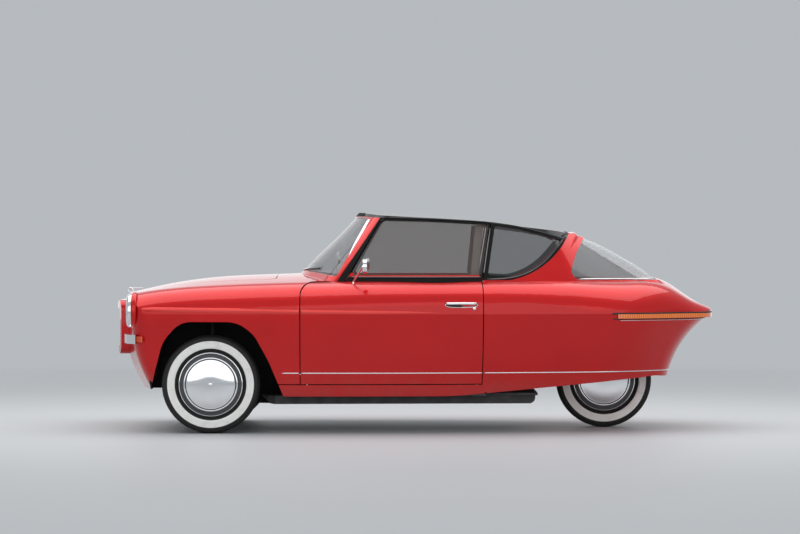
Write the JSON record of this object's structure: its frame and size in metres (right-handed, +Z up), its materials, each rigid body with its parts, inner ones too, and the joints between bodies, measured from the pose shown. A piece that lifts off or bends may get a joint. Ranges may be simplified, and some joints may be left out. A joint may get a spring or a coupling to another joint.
{
  "type": "three wheeled car",
  "caption": "Small rounded car with steered wheels in front and a driven wheel behind, doors and hood on hinges, curved glasshouse and a bubble rear window.",
  "frame": {"origin": "on the ground under the middle of the car's length and width", "axes": "+X towards the nose, +Y to the car's left, +Z up"},
  "size_m": [3.7304, 1.672, 1.352],
  "materials": {
    "body_paint": "gloss red paint with clear coat",
    "roof_paint": "black gloss roof skin",
    "chrome": "bright chrome plate",
    "glass": "grey tinted glass",
    "lens_glass": "clear lamp glass",
    "lens_orange": "orange lamp plastic",
    "lens_red": "red lamp plastic",
    "tyre": "black tyre with a white side wall",
    "wheel_paint": "grey painted steel",
    "black_frame": "black window frame",
    "seat_cover": "dark brown leather",
    "dash_skin": "matt dark red plastic",
    "floor_steel": "matt black paint",
    "pack_case": "matt black case",
    "running_gear": "satin black paint",
    "motor_case": "cast aluminium",
    "wheel_grip": "black grip"
  },
  "bodies": {
    "car_body": {"battery_pack": "pack_case", "cowl_panel": "body_paint", "dashboard": "dash_skin", "floor_pan": "floor_steel", "front_bumpers": "chrome", "front_dampers": "running_gear", "front_markers": "lens_red", "front_subframe": "running_gear", "grille": "chrome", "headlight_lenses": "lens_glass", "headlight_rings": "chrome", "nose_panel": "body_paint", "nose_surround": "body_paint", "quarter_glass": "glass", "rear_arm": "running_gear", "rear_body": "body_paint", "rear_damper": "running_gear", "rear_glass": "glass", "rear_motor": "motor_case", "rear_seat": "seat_cover", "roof_panel": "roof_paint", "sail_panel": "body_paint", "seat_left": "seat_cover", "seat_right": "seat_cover", "seat_runners": "running_gear", "sills": "body_paint", "steering_column": "running_gear", "steering_rack": "running_gear", "tail_lamp": "lens_orange", "windscreen": "glass", "windscreen_frame": "body_paint", "wing_left": "body_paint", "wing_right": "body_paint", "wishbones": "running_gear"},
    "door_left": {"door_left": "body_paint", "door_frame_left": "black_frame", "door_glass_left": "glass", "door_handle_left": "chrome", "door_mirror_left": "chrome"},
    "door_right": {"door_right": "body_paint", "door_frame_right": "black_frame", "door_glass_right": "glass", "door_handle_right": "chrome", "door_mirror_right": "chrome"},
    "hood": {"hood": "body_paint", "hood_ornament": "chrome"},
    "steering_wheel": {"steering_wheel": "wheel_grip"},
    "tie_rods": {"tie_rods": "running_gear"},
    "knuckle_left": {"knuckle_left": "running_gear"},
    "knuckle_right": {"knuckle_right": "running_gear"},
    "wheel_front_left": {"tyre_front_left": "tyre", "rim_front_left": "wheel_paint", "hubcap_front_left": "chrome"},
    "wheel_front_right": {"tyre_front_right": "tyre", "rim_front_right": "wheel_paint", "hubcap_front_right": "chrome"},
    "wheel_rear": {"tyre_rear": "tyre", "rim_rear": "wheel_paint", "hubcap_rear": "chrome"}
  },
  "joints": [
    {"name": "door_left_hinge", "type": "hinge", "parent": "car_body", "child": "door_left", "pos_m": [0.698, 0.8, 0.6], "axis": [0, 0, -1], "range_deg": [0, 62]},
    {"name": "door_right_hinge", "type": "hinge", "parent": "car_body", "child": "door_right", "pos_m": [0.698, -0.8, 0.6], "axis": [0, 0, 1], "range_deg": [0, 62]},
    {"name": "hood_hinge", "type": "hinge", "parent": "car_body", "child": "hood", "pos_m": [0.855, 0, 0.962], "axis": [0, -1, 0], "range_deg": [0, 52]},
    {"name": "steer_left", "type": "hinge", "parent": "car_body", "child": "knuckle_left", "pos_m": [1.242, 0.585, 0.3], "axis": [0, 0, 1], "range_deg": [-30, 30]},
    {"name": "steer_right", "type": "hinge", "parent": "car_body", "child": "knuckle_right", "pos_m": [1.242, -0.585, 0.3], "axis": [0, 0, 1], "range_deg": [-30, 30]},
    {"name": "steering_wheel_turn", "type": "hinge", "parent": "car_body", "child": "steering_wheel", "pos_m": [0.345, 0.335, 0.83], "axis": [-0.8829, 0, 0.4695], "range_deg": [-361, 361]},
    {"name": "rack_slide", "type": "slide", "parent": "car_body", "child": "tie_rods", "axis": [0, -1, 0], "range_m": [-0.042, 0.042]},
    {"name": "front_left_spin", "type": "hinge", "parent": "knuckle_left", "child": "wheel_front_left", "pos_m": [1.242, 0.65, 0.3], "axis": [0, 1, 0], "continuous": true},
    {"name": "front_right_spin", "type": "hinge", "parent": "knuckle_right", "child": "wheel_front_right", "pos_m": [1.242, -0.65, 0.3], "axis": [0, 1, 0], "continuous": true},
    {"name": "rear_spin", "type": "hinge", "parent": "car_body", "child": "wheel_rear", "pos_m": [-1.2, 0, 0.3], "axis": [0, 1, 0], "continuous": true}
  ],
  "couplings": [
    {"joint": "steer_right", "follows": "steer_left", "ratio": 1},
    {"joint": "steering_wheel_turn", "follows": "steer_left", "ratio": 12},
    {"joint": "rack_slide", "follows": "steer_left", "m_per_rad": 0.078}
  ]
}
